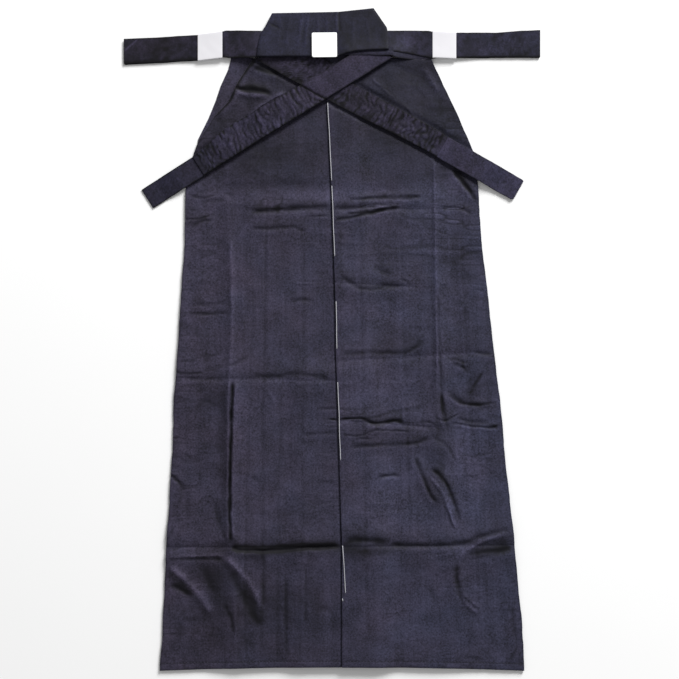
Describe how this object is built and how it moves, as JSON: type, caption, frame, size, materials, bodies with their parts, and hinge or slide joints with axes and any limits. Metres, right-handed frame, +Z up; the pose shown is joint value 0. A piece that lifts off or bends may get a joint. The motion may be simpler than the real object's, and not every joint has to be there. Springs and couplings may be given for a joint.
{
  "type": "hakama trousers",
  "caption": "Dark navy pleated hakama trousers laid flat on their front, back board and centre fold on top, with folded back ties and crossed front ties.",
  "frame": {"origin": "on the surface the garment lies on, under the middle of the outline's bounding box", "axes": "+X to the right as seen from above with the waist at the top, +Y along the length towards the waist and back board, +Z up, away from the surface"},
  "size_m": [0.6656, 1.0584, 0.0187],
  "materials": {
    "cloth": "matt dark navy twill",
    "tie_cloth": "matt dark navy twill, folded and stitched",
    "board_cloth": "matt dark navy twill over a stiff board",
    "paper": "plain white paper",
    "label": "plain white card, bare"
  },
  "bodies": {
    "root": {"front_left": "cloth", "front_right": "cloth", "front_waistband": "tie_cloth", "gusset_left": "cloth", "gusset_right": "cloth", "back_left": "cloth", "back_right": "cloth", "back_tie_left": "tie_cloth", "back_tie_right": "tie_cloth", "paper_keeper_left": "paper", "paper_keeper_right": "paper", "front_tie_left": "tie_cloth", "front_tie_right": "tie_cloth", "back_board": "board_cloth", "size_label": "label"}
  },
  "joints": []
}
